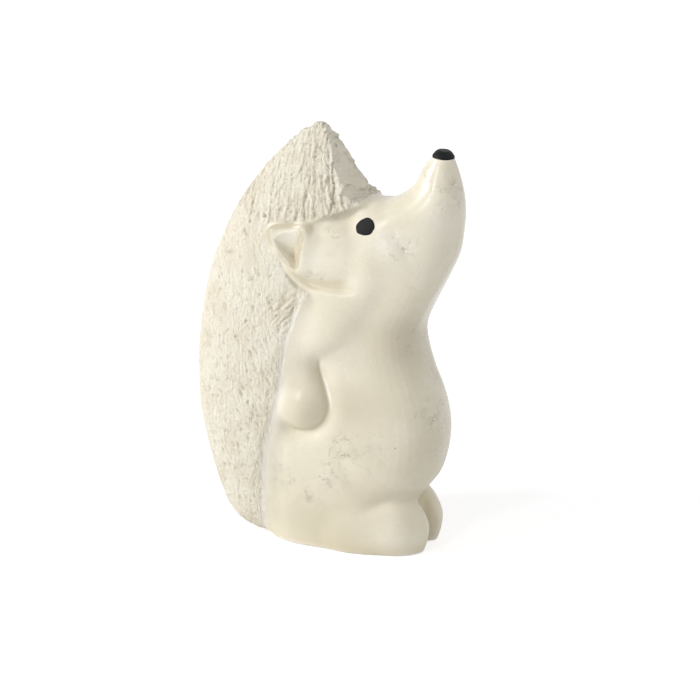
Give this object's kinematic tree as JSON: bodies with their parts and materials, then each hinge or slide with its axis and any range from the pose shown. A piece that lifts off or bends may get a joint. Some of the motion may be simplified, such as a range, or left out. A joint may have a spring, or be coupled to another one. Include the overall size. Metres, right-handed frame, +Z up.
{
  "type": "hedgehog figurine",
  "caption": "Palm-sized standing hedgehog carved from one block of pale soapstone: polished face, belly, arms and feet, a rough chiselled coat of spines rising to a peak, and black lacquer eyes and nose.",
  "frame": {"origin": "middle of the bounding box, on the floor the figure stands on", "axes": "+Z up; the hedgehog faces -Y; its left side is +X"},
  "size_m": [0.0356, 0.0786, 0.12],
  "materials": {
    "polished_stone": "waxed and polished to a satin sheen",
    "chiselled_stone": "matt, left rough from the chisel",
    "black_lacquer": "semi-gloss black enamel, hand painted"
  },
  "bodies": {
    "root": {"polished_body": "polished_stone", "spine_coat": "chiselled_stone", "eye_left": "black_lacquer", "eye_right": "black_lacquer", "nose_cap": "black_lacquer"}
  },
  "joints": []
}
